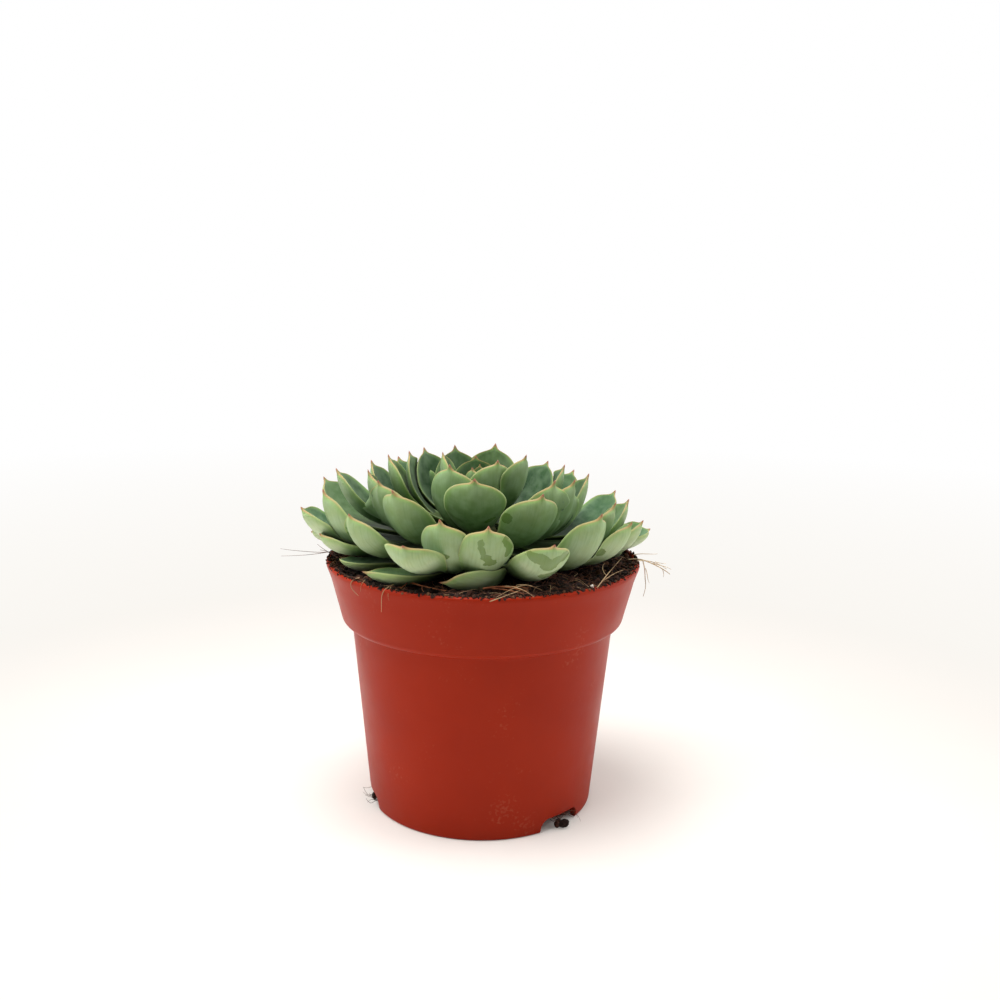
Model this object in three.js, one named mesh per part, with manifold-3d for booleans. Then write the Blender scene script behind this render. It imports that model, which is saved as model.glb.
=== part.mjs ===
// A rosette succulent growing in a round plastic nursery pot.
// Millimetres, +Z up, -Y is the front. The origin is the centre of the pot's foot,
// on the surface that the pot stands on.
import * as THREE from "three";
import { mergeVertices } from "three/addons/utils/BufferGeometryUtils.js";
import Module from "manifold-3d";

const wasm = await Module();
wasm.setup();

// ---- driving dimensions ----

const POT_HEIGHT = 84.2;
const RIM_RADIUS = 52.5; // a 10.5 cm pot is sold by its rim
const FOOT_RADIUS = 38;
const WALL = 1.3;
const FLOOR_UNDERSIDE = 2.5; // the floor stands clear of the surface
const COLLAR_FOOT = 63.7; // height of the collar's lower edge
const COLLAR_FOOT_RADIUS = 47.4;
const BODY_TOP_RADIUS = 44.2; // the body just under the collar
const LIP = 0.2; // the thicker bead round the mouth
const POT_SEGMENTS = 48;

const NOTCH_BEARINGS = [44, 164, -76]; // drainage notches, 120 degrees apart
const NOTCH_WIDTH = 17;
const NOTCH_HEIGHT = 4.7;
const NOTCH_INNER_RADIUS = 30; // each notch runs on into the floor as a slot

const GAP = 0.3; // kept between neighbouring pieces
const SOIL_AT_RIM = 83.5;
const SOIL_AT_CENTRE = 85.6;

const ROSETTE_OFFSET = -2.5; // the plant stands a little left of the pot's middle
const ROSETTE_LEAN = 3; // degrees, to the right
const CROWN_BASE = 81.2; // height that the rosette's own heights count from

// Root stock and stem: [radius, height above the crown base].
const STEM_PROFILE = [[0, -9], [5.5, -8], [8, 2], [9.2, 5], [8.9, 7.5], [7.8, 10], [6.3, 12.2],
  [4.8, 14.4], [3.3, 16.5], [0, 18.2]];
const STEM_SEGMENTS = 16;

// A leaf's half-width along its length, as a share of the widest: [length share, width share].
const OUTLINE = [[0, 0.26], [0.25, 0.5], [0.45, 0.8], [0.62, 0.97], [0.75, 0.99], [0.87, 0.78],
  [0.95, 0.33]];
const THICKEST = 0.55; // length share where a leaf is thickest
const FOOT_THICKNESS = 0.42; // a foot's thickness, as a share of the thickest
const TIP_TAPER = 6; // the thickness runs out over the last sixth of the length
const CUP = 0.28; // how far the margins rise, as a share of the half-width
const ABOVE = 0.2; // share of the thickness that lies above the midrib
const FLANK = 0.55; // width share of the corners on the underside
const FOOT_GAP = 0.9; // between the stem and a leaf's foot
const ROLL = 4; // degrees, the most that a leaf is twisted about its length
const HUG = 0.85; // how closely a midrib follows its corner, up to 1

// The leaves, oldest whorl first. base is the height of a leaf's foot on the stem, and width
// and thickness are its blade's largest. A midrib leaves the stem, turns at its corner and
// ends at its tip: corner is the corner's share of the way out, its share of the way up, and
// how far it stands above that. Each tip is [bearing in degrees from the front, distance from
// the stem's axis, height, sweep], all in the rosette's own frame. sweep, where given, is how
// many degrees round the stem the leaf's foot and corner stand from its tip.
const WHORLS = [
  {
    base: 5.8, width: 15, thickness: 3, corner: [0.85, 0.8, -2],
    tips: [[-68, 50, 3.4, 14], [-46, 49, 4.2, 22], [-14, 46.5, 5.2, 28], [98, 51, 7],
      [150, 51, 7.5], [-140, 51, 5]],
  },
  {
    base: 7.6, width: 19, thickness: 4.2, corner: [0.8, 0.02, -0.8],
    tips: [[-98, 58, 6], [-73, 53.5, 11], [-82, 59.2, 18], [-23, 56, 17.4], [24, 55, 20.3],
      [63, 54, 23.4], [86, 55, 20], [103, 62, 13.5], [124, 57, 16], [152, 55, 14], [-178, 54, 15],
      [-145, 57, 14]],
  },
  {
    base: 9.8, width: 19.5, thickness: 4.2, corner: [0.8, 0.02, -4.2],
    tips: [[-53, 50.5, 21.5], [-73, 53, 26], [-108, 58, 24], [3, 51, 24.8], [-14, 49, 25.2, 3],
      [47, 51, 27.5], [72, 46, 27.5], [98, 51.5, 25], [118, 55, 24.5], [142, 51, 23],
      [170, 52, 24], [-150, 52, 24]],
  },
  {
    base: 12, width: 20, thickness: 3.8, corner: [0.74, 0.06, -0.8],
    tips: [[-38, 44, 30.6], [30, 38, 32], [51, 30, 34.3], [66, 33, 34], [95, 36.3, 33.6],
      [-60, 38, 30.5], [-75, 38.4, 32.3], [-92, 49, 30], [-103, 39, 32.5], [128, 42, 31],
      [160, 41, 31], [-165, 42, 31], [-135, 43, 31]],
  },
  {
    base: 14.2, width: 20, thickness: 3.4, corner: [0.7, 0.12, 0],
    tips: [[-4, 33, 35.4], [97, 28, 36], [125, 28, 35], [-87, 31.5, 36.3], [-108, 26.5, 36.5],
      [-130, 27, 36.8], [170, 25, 38.8], [-153, 22, 38], [-33, 19.5, 36.7]],
  },
  {
    base: 16.3, width: 17, thickness: 2.6, corner: [0.65, 0.28, 0],
    tips: [[62, 16, 40], [22, 13, 38.3], [-90, 13.5, 38], [-166, 10, 36]],
  },
];
const STAGGER = 0.55; // leaf feet in a whorl sit alternately this much above and below its base

// The bud of unopened leaves at the centre.
const HEART_LEAVES = 7;
const HEART_BASE = 18.8;
const HEART_TIP = 32.5;
const HEART_KNOB = 1.6; // radius of the knob that the bud leaves stand on
const HEART_REACH = 0.8; // the youngest bud leaf's tip, from the axis
const HEART_SPREAD = 1.1; // each older bud leaf opens this much further out
const HEART_HALF_WIDTH = 2;
const HEART_GROWTH = 0.35; // each older bud leaf is this much taller and broader
const HEART_THICKNESS = 1.5;
const GOLDEN_ANGLE = 137.5;

const COLOURS = {
  pot: 0x97301a,
  soil: 0x2b1d16,
  stem: 0x8a8f62,
  leaf: 0x7d9c78,
  heart: 0x8fb07c,
};

// ---- helpers ----

const radians = THREE.MathUtils.degToRad;

function outward(bearing) {
  return new THREE.Vector3(Math.sin(radians(bearing)), -Math.cos(radians(bearing)), 0);
}

function sideways(bearing) {
  return new THREE.Vector3(Math.cos(radians(bearing)), Math.sin(radians(bearing)), 0);
}

// Linear reading of a list of [position, value] pairs.
function readOff(pairs, at) {
  const next = pairs.findIndex(([position]) => position >= at);
  if (next <= 0) return pairs.at(next)[1];
  const [p0, v0] = pairs[next - 1];
  const [p1, v1] = pairs[next];
  return THREE.MathUtils.mapLinear(at, p0, p1, v0, v1);
}

function turned(profile, segments) {
  const points = profile.map(([radius, height]) => new THREE.Vector2(radius, height));
  return new THREE.LatheGeometry(points, segments).rotateX(Math.PI / 2);
}

function solidOf(geometry) {
  const bare = geometry.clone();
  bare.deleteAttribute("normal");
  bare.deleteAttribute("uv");
  const merged = mergeVertices(bare, 1e-4);
  return new wasm.Manifold(new wasm.Mesh({
    numProp: 3,
    vertProperties: merged.attributes.position.array,
    triVerts: new Uint32Array(merged.index.array),
  }));
}

function geometryOf(solid) {
  const { vertProperties, triVerts } = solid.getMesh();
  const geometry = new THREE.BufferGeometry();
  geometry.setAttribute("position", new THREE.BufferAttribute(vertProperties, 3));
  geometry.setIndex(new THREE.BufferAttribute(triVerts, 1));
  geometry.computeVertexNormals();
  return geometry;
}

function largestBody(solid) {
  const bodies = solid.decompose();
  return bodies.reduce((best, body) => (body.volume() > best.volume() ? body : best));
}

function piece(name, geometry, color, roughness) {
  const material = new THREE.MeshStandardMaterial({ color, roughness, metalness: 0 });
  const mesh = new THREE.Mesh(geometry, material);
  mesh.name = name;
  return mesh;
}

// ---- pot ----

// The wall's radius between the foot and the collar, and between the collar's foot and the rim.
function bodyRadius(height) {
  return THREE.MathUtils.mapLinear(height, 0, COLLAR_FOOT, FOOT_RADIUS, BODY_TOP_RADIUS);
}

function collarRadius(height) {
  return THREE.MathUtils.mapLinear(height, COLLAR_FOOT, POT_HEIGHT, COLLAR_FOOT_RADIUS, RIM_RADIUS - LIP);
}

function potProfile() {
  const floorTop = FLOOR_UNDERSIDE + WALL;
  return [
    [0, FLOOR_UNDERSIDE],
    [FOOT_RADIUS - 2 * WALL, FLOOR_UNDERSIDE],
    [FOOT_RADIUS - 1.7 * WALL, 0],
    [FOOT_RADIUS - 0.4, 0],
    [bodyRadius(0.7), 0.7],
    [bodyRadius(COLLAR_FOOT - 1.5), COLLAR_FOOT - 1.5],
    [bodyRadius(COLLAR_FOOT) + 0.3, COLLAR_FOOT],
    [COLLAR_FOOT_RADIUS - 0.9, COLLAR_FOOT],
    [COLLAR_FOOT_RADIUS, COLLAR_FOOT + 1],
    [collarRadius(POT_HEIGHT - 2), POT_HEIGHT - 2],
    [RIM_RADIUS, POT_HEIGHT - 1.3],
    [RIM_RADIUS, POT_HEIGHT - 0.4],
    [RIM_RADIUS - 0.5, POT_HEIGHT],
    [RIM_RADIUS - LIP - WALL, POT_HEIGHT],
    [collarRadius(COLLAR_FOOT + 2) - WALL, COLLAR_FOOT + 2],
    [bodyRadius(COLLAR_FOOT - 1) - WALL, COLLAR_FOOT - 1],
    [bodyRadius(floorTop) - WALL, floorTop],
    [0, floorTop],
  ];
}

// A flat arch with sloping rounded ends, run outwards through the floor's edge and the wall.
function notchCutter(bearing) {
  const half = NOTCH_WIDTH / 2;
  const shoulder = half - 3.5;
  const below = -1;
  const arch = new THREE.Shape();
  arch.moveTo(-half, below);
  arch.lineTo(half, below);
  arch.quadraticCurveTo(half - 0.5, NOTCH_HEIGHT, shoulder, NOTCH_HEIGHT);
  arch.lineTo(-shoulder, NOTCH_HEIGHT);
  arch.quadraticCurveTo(-half + 0.5, NOTCH_HEIGHT, -half, below);
  const depth = FOOT_RADIUS + 6 - NOTCH_INNER_RADIUS;
  const cutter = new THREE.ExtrudeGeometry(arch, { depth, bevelEnabled: false, curveSegments: 4 });
  const place = new THREE.Matrix4().makeBasis(
    sideways(bearing),
    new THREE.Vector3(0, 0, 1),
    outward(bearing),
  );
  place.setPosition(outward(bearing).multiplyScalar(NOTCH_INNER_RADIUS));
  return cutter.applyMatrix4(place);
}

function makePot() {
  let solid = solidOf(turned(potProfile(), POT_SEGMENTS));
  for (const bearing of NOTCH_BEARINGS) {
    solid = solid.subtract(solidOf(notchCutter(bearing)));
  }
  return piece("pot", geometryOf(solid), COLOURS.pot, 0.35);
}

// ---- stem ----

// Root stock and stem in one turned piece; grow swells it on every side.
function stemGeometry(grow = 0) {
  const profile = STEM_PROFILE.map(([radius, height]) => [radius ? radius + grow : 0, height]);
  profile[0][1] -= grow;
  profile.at(-1)[1] += grow;
  return turned(profile, STEM_SEGMENTS);
}

// The stem's radius at a height, above the soil.
function stemRadius(height) {
  const aboveSoil = STEM_PROFILE.slice(3).map(([radius, z]) => [z, radius]);
  return readOff(aboveSoil, Math.max(height, aboveSoil[0][0]));
}

// ---- soil ----

// The soil fills the pot to just under the rim, closes round the root stock and gives way
// under the lowest leaves.
function makeSoil(rosettePlace, lowLeaves) {
  const bottom = FLOOR_UNDERSIDE + WALL + GAP;
  const clear = WALL + GAP + 0.1;
  const profile = [
    [0, bottom],
    [bodyRadius(bottom) - clear, bottom],
    [bodyRadius(COLLAR_FOOT - 1) - clear, COLLAR_FOOT - 1],
    [collarRadius(COLLAR_FOOT + 2) - clear, COLLAR_FOOT + 2],
    [collarRadius(SOIL_AT_RIM) - clear, SOIL_AT_RIM],
    [RIM_RADIUS / 2, THREE.MathUtils.lerp(SOIL_AT_RIM, SOIL_AT_CENTRE, 0.75)],
    [0, SOIL_AT_CENTRE],
  ];
  let solid = solidOf(turned(profile, POT_SEGMENTS / 2));
  for (const pressed of [stemGeometry(GAP), ...lowLeaves]) {
    solid = solid.subtract(solidOf(pressed.applyMatrix4(rosettePlace)));
  }
  return piece("soil", geometryOf(solid), COLOURS.soil, 0.95);
}

// ---- leaves ----

// A point of the rosette at a bearing, a distance from its axis and a height.
function spot(bearing, reach, height) {
  return outward(bearing).multiplyScalar(reach).setZ(height);
}

// The midrib is an arc from foot to tip that keeps close to its corner.
function midrib({ bearing, sweep, foot, tip, corner }) {
  const [out, up, rise] = corner;
  const start = spot(bearing + sweep, foot.reach, foot.height);
  const end = spot(bearing, tip.reach, tip.height);
  const turn = spot(
    bearing + sweep,
    THREE.MathUtils.lerp(foot.reach, tip.reach, out),
    THREE.MathUtils.lerp(foot.height, tip.height, up) + rise,
  );
  return new THREE.CubicBezierCurve3(
    start,
    start.clone().lerp(turn, HUG),
    end.clone().lerp(turn, HUG),
    end,
  );
}

// One cross-section: a lens, fuller below than above, with its margins raised.
function leafSection(leaf, at, grow) {
  const half = leaf.halfWidth * readOff(OUTLINE, at) + grow;
  const fullness = Math.sin(Math.PI * Math.pow(at, Math.log(0.5) / Math.log(THICKEST)));
  const swell = THREE.MathUtils.lerp(FOOT_THICKNESS, 1, fullness);
  const thick = leaf.thickness * swell * Math.min(1, (1 - at) * TIP_TAPER);
  const cup = CUP * half * Math.min(1, at * 2);
  const point = (u, share) => {
    const body = thick * (1 - u * u);
    return new THREE.Vector2(u * half, cup * u * u + share * body + Math.sign(share) * grow);
  };
  return [
    point(-1, 0),
    point(0, ABOVE),
    point(1, 0),
    point(FLANK, ABOVE - 1),
    point(0, ABOVE - 1),
    point(-FLANK, ABOVE - 1),
  ];
}

// The whole leaf as a closed skin over its sections, in the rosette's frame.
// grow swells it on every side, which makes the clearance that its neighbours are cut to.
function leafGeometry(leaf, grow = 0) {
  const rib = midrib(leaf);
  const roll = radians(leaf.roll);
  const points = [];
  for (const [at] of OUTLINE) {
    const along = rib.getTangent(at);
    const side = new THREE.Vector3(-along.y, along.x, 0).normalize();
    const up = new THREE.Vector3().crossVectors(along, side);
    const middle = rib.getPoint(at);
    if (at === 0) middle.addScaledVector(along, -grow);
    for (const { x, y } of leafSection(leaf, at, grow)) {
      const across = x * Math.cos(roll) - y * Math.sin(roll);
      const above = x * Math.sin(roll) + y * Math.cos(roll);
      points.push(middle.clone().addScaledVector(side, across).addScaledVector(up, above));
    }
  }
  const tip = points.length;
  points.push(rib.getPoint(1).addScaledVector(rib.getTangent(1), 4 * grow));
  const ring = tip / OUTLINE.length;
  const faces = [];
  for (let a = 0; a < tip - ring; a++) {
    const b = (a + 1) % ring ? a + 1 : a + 1 - ring;
    faces.push(a, a + ring, b, b, a + ring, b + ring);
  }
  for (let k = 0; k < ring; k++) {
    faces.push(tip - ring + k, tip, tip - ring + ((k + 1) % ring));
  }
  for (let k = 1; k < ring - 1; k++) {
    faces.push(0, k, k + 1);
  }
  return new THREE.BufferGeometry().setFromPoints(points).setIndex(faces);
}

// Every leaf of the rosette, oldest first.
function leafList() {
  const leaves = [];
  for (const whorl of WHORLS) {
    const order = [...whorl.tips].sort((a, b) => a[0] - b[0]);
    for (const tip of whorl.tips) {
      const [bearing, reach, height, sweep = 0] = tip;
      const step = order.indexOf(tip) % 2 ? STAGGER : -STAGGER;
      const base = whorl.base + step;
      leaves.push({
        bearing,
        sweep,
        foot: { reach: stemRadius(base) + FOOT_GAP, height: base },
        tip: { reach, height },
        corner: whorl.corner,
        halfWidth: whorl.width / 2,
        thickness: whorl.thickness,
        roll: ROLL * Math.sin(radians(GOLDEN_ANGLE * leaves.length)),
      });
    }
  }
  return leaves;
}

// A leaf gives way where a younger one presses on it.
function trimmed(leaf, younger) {
  let solid = solidOf(leafGeometry(leaf));
  for (const neighbour of younger) {
    if (solid.intersect(neighbour).volume() > 0) {
      solid = solid.subtract(neighbour);
    }
  }
  return largestBody(solid);
}

function makeLeaves(leaves, heart) {
  const swollen = leaves.map((leaf) => solidOf(leafGeometry(leaf, GAP)));
  return leaves.map((leaf, i) => {
    const solid = trimmed(leaf, [...swollen.slice(i + 1), heart]);
    const name = "leaf_" + String(i + 1).padStart(2, "0");
    return piece(name, geometryOf(solid), COLOURS.leaf, 0.55);
  });
}

// ---- heart ----

function heartLeaf(i) {
  return {
    bearing: GOLDEN_ANGLE * i,
    sweep: 0,
    foot: { reach: GAP, height: HEART_BASE },
    tip: { reach: HEART_REACH + HEART_SPREAD * i, height: HEART_TIP + HEART_GROWTH * i },
    corner: [0.8, 0.3, 0],
    halfWidth: HEART_HALF_WIDTH + HEART_GROWTH * i,
    thickness: HEART_THICKNESS,
    roll: 0,
  };
}

// grow swells the bud leaves, as on the open ones.
function heartSolid(grow = 0) {
  const knob = new THREE.SphereGeometry(HEART_KNOB + grow, 10, 8);
  knob.translate(0, 0, HEART_BASE + HEART_KNOB - GAP);
  let solid = solidOf(knob);
  for (let i = 0; i < HEART_LEAVES; i++) {
    solid = solid.add(solidOf(leafGeometry(heartLeaf(i), grow)));
  }
  return solid;
}

// ---- the whole plant ----

const succulent = new THREE.Group();
const rosette = new THREE.Group();
rosette.position.set(ROSETTE_OFFSET, 0, CROWN_BASE);
rosette.rotation.y = radians(ROSETTE_LEAN);
rosette.add(piece("stem", stemGeometry(), COLOURS.stem, 0.8));
rosette.add(piece("heart", geometryOf(heartSolid()), COLOURS.heart, 0.55));
const leaves = leafList();
const lowest = WHORLS[0].tips.length + WHORLS[1].tips.length + WHORLS[2].tips.length;
const lowLeaves = leaves.slice(0, lowest).map((leaf) => leafGeometry(leaf, GAP));
rosette.add(...makeLeaves(leaves, heartSolid(GAP)));
rosette.updateMatrix();
succulent.add(makePot(), makeSoil(rosette.matrix, lowLeaves), rosette);

export default succulent;
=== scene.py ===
# %% [markdown]
# # A rosette succulent in a plastic nursery pot
#
# The real object is an echeveria: about sixty thick waxy leaves on a short stem, growing in a
# moulded terracotta-coloured plastic pot that is full of peat and coconut fibre.
# It could be sculpted freely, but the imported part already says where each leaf, the pot and the
# soil are. So this script loads that part as a fixed frame, measures it, and grows a finished
# piece in the place of each plain solid.

# %% Load the fixed frame and keep its box
import math
import random

import bpy
import numpy as np
from mathutils import Matrix, Vector, bvhtree, kdtree, noise


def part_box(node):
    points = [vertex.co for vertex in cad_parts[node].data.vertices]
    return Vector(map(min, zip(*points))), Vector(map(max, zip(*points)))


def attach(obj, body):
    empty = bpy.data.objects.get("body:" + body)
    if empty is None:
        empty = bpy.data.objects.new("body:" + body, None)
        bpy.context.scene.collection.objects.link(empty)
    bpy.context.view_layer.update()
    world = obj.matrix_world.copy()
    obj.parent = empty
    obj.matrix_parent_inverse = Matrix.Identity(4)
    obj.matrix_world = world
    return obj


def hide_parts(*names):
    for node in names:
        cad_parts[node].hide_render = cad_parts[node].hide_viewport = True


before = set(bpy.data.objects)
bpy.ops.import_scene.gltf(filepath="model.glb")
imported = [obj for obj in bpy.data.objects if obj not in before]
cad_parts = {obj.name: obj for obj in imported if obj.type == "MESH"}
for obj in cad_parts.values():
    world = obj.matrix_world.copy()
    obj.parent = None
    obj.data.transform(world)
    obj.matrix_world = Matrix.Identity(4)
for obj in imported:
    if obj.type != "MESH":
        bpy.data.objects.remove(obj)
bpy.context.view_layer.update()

MM = 0.001
UP = Vector((0, 0, 1))

# %% [markdown]
# ## Small tools
#
# Blender's operators act on whatever is selected, and loading the frame leaves its nodes
# selected, so every step starts by selecting nothing. The other tools here add a primitive,
# apply modifiers, and hand a finished piece over: which body it rides on, which finish it
# takes, and which plain solids it stands for.

# %% Tools for objects
def nothing_selected():
    """Leaves edit mode and selects nothing."""
    if bpy.context.object and bpy.context.object.mode != "OBJECT":
        bpy.ops.object.mode_set(mode="OBJECT")
    bpy.ops.object.select_all(action="DESELECT")


def newest(name):
    """Names the object that an operator has just added."""
    piece = bpy.context.object
    piece.name = piece.data.name = name
    return piece


def only(piece):
    """Selects one object and makes it the active one."""
    nothing_selected()
    piece.select_set(True)
    bpy.context.view_layer.objects.active = piece


def with_modifier(piece, kind, **settings):
    """Adds a modifier with its settings and applies it."""
    only(piece)
    modifier = piece.modifiers.new(kind.title(), kind)
    for setting, value in settings.items():
        setattr(modifier, setting, value)
    bpy.ops.object.modifier_apply(modifier=modifier.name)


def corners(piece):
    """The corner positions of a piece's mesh, one row each."""
    co = np.empty(len(piece.data.vertices) * 3)
    piece.data.vertices.foreach_get("co", co)
    return co.reshape(-1, 3)


def move_corners(piece, co):
    piece.data.vertices.foreach_set("co", co.ravel())
    piece.data.update()


def painted(piece, name, values):
    """Keeps one number for each corner, for the piece's material to read."""
    layer = piece.data.attributes.new(name, "FLOAT", "POINT")
    layer.data.foreach_set("value", np.asarray(values, np.float32))


def hand_over(piece, finish, material, *nodes):
    """The piece rides on the plant's one body, takes a material as its finish and stands for these
    nodes; the argument finish is not used.
    """
    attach(piece, "root")
    if nodes:
        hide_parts(*nodes)
    piece.data.materials.clear()
    piece.data.materials.append(material)


# %% [markdown]
# ## Colours and nodes
#
# Colours are written as the sRGB hex values that a paint chart gives, and shaders count in
# linear light, so one function turns one into the other. A second function adds a shader node
# with its settings and its links, which keeps each material a short readable list. Every
# finish here ends in the same way, in bumps of falling size and one shader, so a last function
# does that.

# %% Tools for materials
def linear(hex_colour):
    """An sRGB hex colour as linear red, green, blue and alpha."""
    channels = [int(hex_colour[i:i + 2], 16) / 255 for i in (1, 3, 5)]
    return [c / 12.92 if c <= 0.04045 else ((c + 0.055) / 1.055) ** 2.4
            for c in channels] + [1]


def node(tree, kind, inputs=None, **settings):
    """Adds a node; each input is given a value or is joined to another node's output."""
    made = tree.nodes.new("ShaderNode" + kind)
    for setting, value in settings.items():
        setattr(made, setting, value)
    for socket, value in (inputs or {}).items():
        if isinstance(value, bpy.types.NodeSocket):
            tree.links.new(value, made.inputs[socket])
        else:
            made.inputs[socket].default_value = value
    return made


def new_material(name):
    """An empty material and its node tree."""
    material = bpy.data.materials.new(name)
    material.use_nodes = True
    material.node_tree.nodes.clear()
    return material, material.node_tree


def colour_stops(ramp, stops):
    """Sets a colour ramp's stops, given as (place, hex colour)."""
    elements = ramp.color_ramp.elements
    while len(elements) < len(stops):
        elements.new(1)
    for element, (place, colour) in zip(elements, stops):
        element.position, element.color = place, linear(colour)


def end_material(tree, colour, roughness, bumps, **more):
    """Ends a material in one shader; its other sockets are named with _ for a space.

    The bumps lie on each other, and each is (height, strength, distance in mm).
    """
    below = {}
    for height, strength, distance in bumps:
        bump = node(tree, "Bump", {"Height": height, "Strength": strength,
                                   "Distance": distance * MM, **below})
        below = {"Normal": bump.outputs["Normal"]}
    others = {socket.replace("_", " "): value for socket, value in more.items()}
    surface = node(tree, "BsdfPrincipled", {"Base Color": colour, "Roughness": roughness,
                                            **others, **below})
    node(tree, "OutputMaterial", {"Surface": surface.outputs["BSDF"]})


# %% [markdown]
# ## Camera, floor and light
#
# A product picture of a small plant is taken from a little above its rim, against white, with
# large soft lamps above and at the sides and nothing bright behind the camera. That leaves the
# plastic's front deep in colour and lights its edges. The camera is tipped down by nearly
# eleven degrees and leans a fraction of a degree, as a hand-held one does. The world shows
# white to the camera, and lights the object brightly from behind and weakly from the front.
# The floor is paper that takes the pot's shadow. Further out it is shown as bright as the
# surround, so that the two meet without a horizon; nearer the pot that shown brightness is
# tinted a warm grey, a painted shadow. Under the pot it is left in shadow, so that the
# drainage notches look dark.

# %% Camera
CAMERA_PLACE = Vector((0, -362, 172.3)) * MM
CAMERA_PITCH = math.radians(10.75)
CAMERA_YAW = math.radians(-0.845)
CAMERA_ROLL = math.radians(0.885)
CAMERA_LENS = 39.6

level_right = Vector((math.cos(CAMERA_YAW), math.sin(CAMERA_YAW), 0))
ahead = UP.cross(level_right)
sight = ahead * math.cos(CAMERA_PITCH) - UP * math.sin(CAMERA_PITCH)
level_up = level_right.cross(sight)
right = level_right * math.cos(CAMERA_ROLL) + level_up * math.sin(CAMERA_ROLL)
upward = level_up * math.cos(CAMERA_ROLL) - level_right * math.sin(CAMERA_ROLL)

nothing_selected()
bpy.ops.object.camera_add(location=CAMERA_PLACE)
camera = newest("camera")
turn = Matrix((right, upward, -sight)).transposed()
camera.matrix_world = Matrix.Translation(CAMERA_PLACE) @ turn.to_4x4()
camera.data.lens = CAMERA_LENS
camera.data.sensor_width = 36
camera.data.clip_start = 0.01
bpy.context.scene.camera = camera

# %% Floor
FLOOR_SIZE = 8
nothing_selected()
bpy.ops.mesh.primitive_plane_add(size=FLOOR_SIZE)
floor = newest("floor")

paper, tree = new_material("matt white paper")
place = node(tree, "TexCoord").outputs["Object"]
blotches = node(tree, "TexNoise", {"Vector": place, "Scale": 9, "Detail": 4})
tint = node(tree, "ValToRGB", {"Fac": blotches.outputs["Fac"]})
colour_stops(tint, [(0.3, "#e6dfd8"), (0.7, "#eee8e2")])
surface = node(tree, "BsdfPrincipled", {"Base Color": tint.outputs["Color"], "Roughness": 0.9,
                                        "Specular IOR Level": 0.1})
distance = node(tree, "VectorMath", {0: place}, operation="LENGTH").outputs["Value"]
# The floor's glow is a warm grey near the pot and white further out: a painted shadow round the
# pot.
glow_tone_with_painted_shadow = node(tree, "ValToRGB", {"Fac": distance})
colour_stops(glow_tone_with_painted_shadow, [(0.1, "#f6efe8"), (0.3, "#faf7f2"), (0.9, "#ffffff")])
lit = node(tree, "Emission", {"Color": glow_tone_with_painted_shadow.outputs["Color"], "Strength": 1})
lit_share = node(tree, "MapRange", {"Value": distance, "From Min": 0.02, "From Max": 0.3,
                                    "To Min": 0.3},
                 interpolation_type="SMOOTHSTEP").outputs["Result"]
SHADE_UNDER_POT = (34 * MM, 40 * MM)  # the lit share sets in between these radii
beyond_foot = node(tree, "MapRange", {"Value": distance, "From Min": SHADE_UNDER_POT[0],
                                      "From Max": SHADE_UNDER_POT[1]})
lit_clear = node(tree, "Math", {0: lit_share, 1: beyond_foot.outputs["Result"]},
                 operation="MULTIPLY")
seen = node(tree, "Math", {0: lit_clear.outputs["Value"],
                           1: node(tree, "LightPath").outputs["Is Camera Ray"]},
            operation="MULTIPLY")
table = node(tree, "MixShader", {"Fac": seen.outputs["Value"], 1: surface.outputs["BSDF"],
                                 2: lit.outputs["Emission"]})
node(tree, "OutputMaterial", {"Surface": table.outputs["Shader"]})
floor.data.materials.append(paper)

# %% Lamps and surroundings
LAMPS = [  # name, place in metres, side in metres, watts
    ("lamp_above", (-0.15, -0.1, 1.0), 0.6, 12.5),
    ("lamp_left", (-0.9, -0.25, 0.5), 0.6, 3.4),
    ("lamp_right", (0.9, 0.1, 0.45), 0.6, 3.4),
]
LAMP_AIM = Vector((0, 0, 0.07))
for name, place, side, watts in LAMPS:
    nothing_selected()
    bpy.ops.object.light_add(type="AREA", location=place)
    lamp = newest(name)
    lamp.rotation_euler = (LAMP_AIM - Vector(place)).to_track_quat("-Z", "Y").to_euler()
    lamp.data.size = side
    lamp.data.energy = watts

SURROUND_FRONT = 0.13
SURROUND_BACK = 0.75
world = bpy.data.worlds.new("white surround")
bpy.context.scene.world = world
world.use_nodes = True
tree = world.node_tree
tree.nodes.clear()
shown = node(tree, "Background", {"Color": linear("#ffffff"), "Strength": 1})
towards = node(tree, "SeparateXYZ", {"Vector": node(tree, "TexCoord").outputs["Generated"]})
strength = node(tree, "MapRange", {"Value": towards.outputs["Y"], "From Min": -0.8,
                                   "From Max": 0.3, "To Min": SURROUND_FRONT,
                                   "To Max": SURROUND_BACK})
given = node(tree, "Background", {"Color": linear("#ffffff"),
                                  "Strength": strength.outputs["Result"]})
chosen = node(tree, "MixShader", {"Fac": node(tree, "LightPath").outputs["Is Camera Ray"],
                                  1: given.outputs["Background"],
                                  2: shown.outputs["Background"]})
node(tree, "OutputWorld", {"Surface": chosen.outputs["Shader"]})
bpy.context.scene.view_settings.view_transform = "Standard"
print("camera is", round(CAMERA_PLACE.length, 3), "m from the pot's foot")

# %% [markdown]
# ## The pot
#
# The real pot is injection moulded: one thin wall with a deep collar, a small bead round the
# mouth, and three drainage notches in its foot. Anything that is the same all round is made
# fastest as a turner would see it, as half a section that is spun. The section's corners are
# rounded by a small radius each, as a mould's are, because a dead sharp edge catches no light.
# The notches are cut afterwards with a shaped cutter.

# %% The pot's section
pot_low, pot_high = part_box("pot")
RIM = (pot_high.x - pot_low.x) / 2 / MM
POT_TOP = pot_high.z / MM
WALL = 1.3
FOOT = 38.0
FLOOR_UNDERSIDE = 2.5
COLLAR_FOOT = 63.7
COLLAR_FOOT_RADIUS = 47.4
BODY_TOP = 44.2
BEAD = 0.2
SPIN_STEPS = 144


def body_radius(height):
    return FOOT + (BODY_TOP - FOOT) * height / COLLAR_FOOT


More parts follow.
